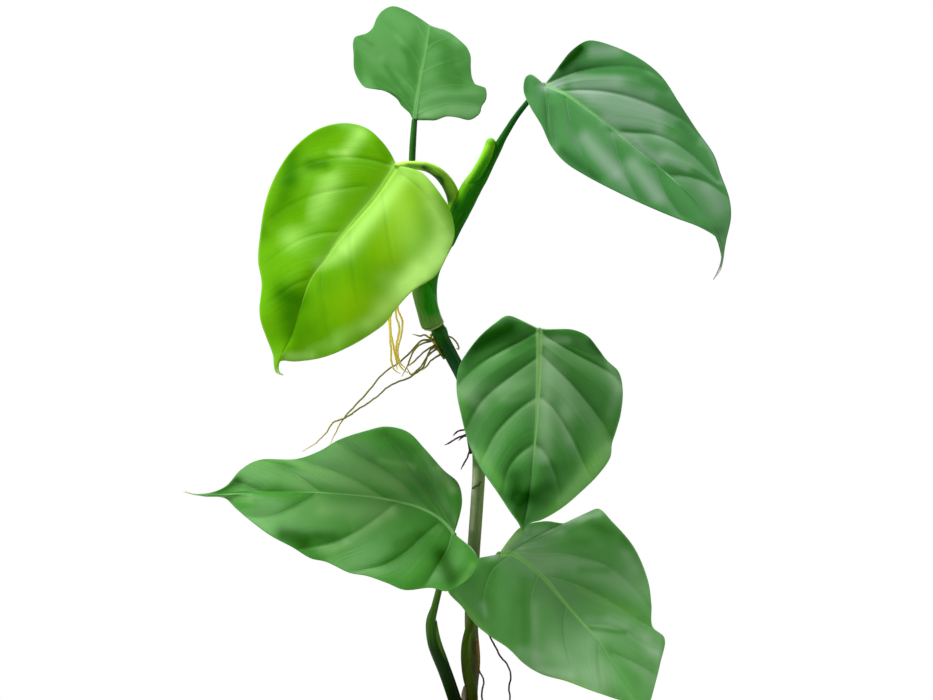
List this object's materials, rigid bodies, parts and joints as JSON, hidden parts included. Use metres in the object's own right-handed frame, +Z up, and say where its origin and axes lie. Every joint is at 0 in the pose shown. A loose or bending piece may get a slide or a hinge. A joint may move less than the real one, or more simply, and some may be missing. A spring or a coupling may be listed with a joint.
{
  "type": "potted climbing philodendron",
  "caption": "Climbing houseplant in a plain round pot: one stem, heart-shaped leaves on long stalks, a furled new leaf and hanging aerial roots.",
  "frame": {"origin": "middle of the pot's flat underside, on the surface it stands on", "axes": "+Z up along the plant's height; the plant faces -Y, with its lime leaf towards -X"},
  "size_m": [0.3533, 0.1833, 0.6074],
  "materials": {
    "pot": "matte",
    "soil": "matte",
    "stem": "satin",
    "petiole": "satin",
    "young_petiole": "satin",
    "lime_leaf": "satin",
    "deep_leaf": "satin",
    "dull_leaf": "satin",
    "olive_root": "matte",
    "yellow_root": "matte",
    "brown_root": "matte",
    "bract": "matte"
  },
  "bodies": {
    "root": {"pot": "pot", "soil": "soil", "stem": "stem", "top_leaf_petiole": "petiole", "top_leaf_blade": "dull_leaf", "lime_leaf_petiole": "young_petiole", "lime_leaf_blade": "lime_leaf", "upper_right_leaf_petiole": "petiole", "upper_right_leaf_blade": "deep_leaf", "middle_right_leaf_petiole": "petiole", "middle_right_leaf_blade": "deep_leaf", "lower_left_leaf_petiole": "petiole", "lower_left_leaf_blade": "deep_leaf", "lower_right_leaf_petiole": "petiole", "lower_right_leaf_blade": "deep_leaf", "new_leaf_sheath": "young_petiole", "upper_aerial_roots": "olive_root", "yellow_aerial_roots": "yellow_root", "middle_aerial_roots": "brown_root", "feeder_root": "brown_root", "brown_rootlet": "brown_root", "dry_bract": "bract"}
  },
  "joints": []
}
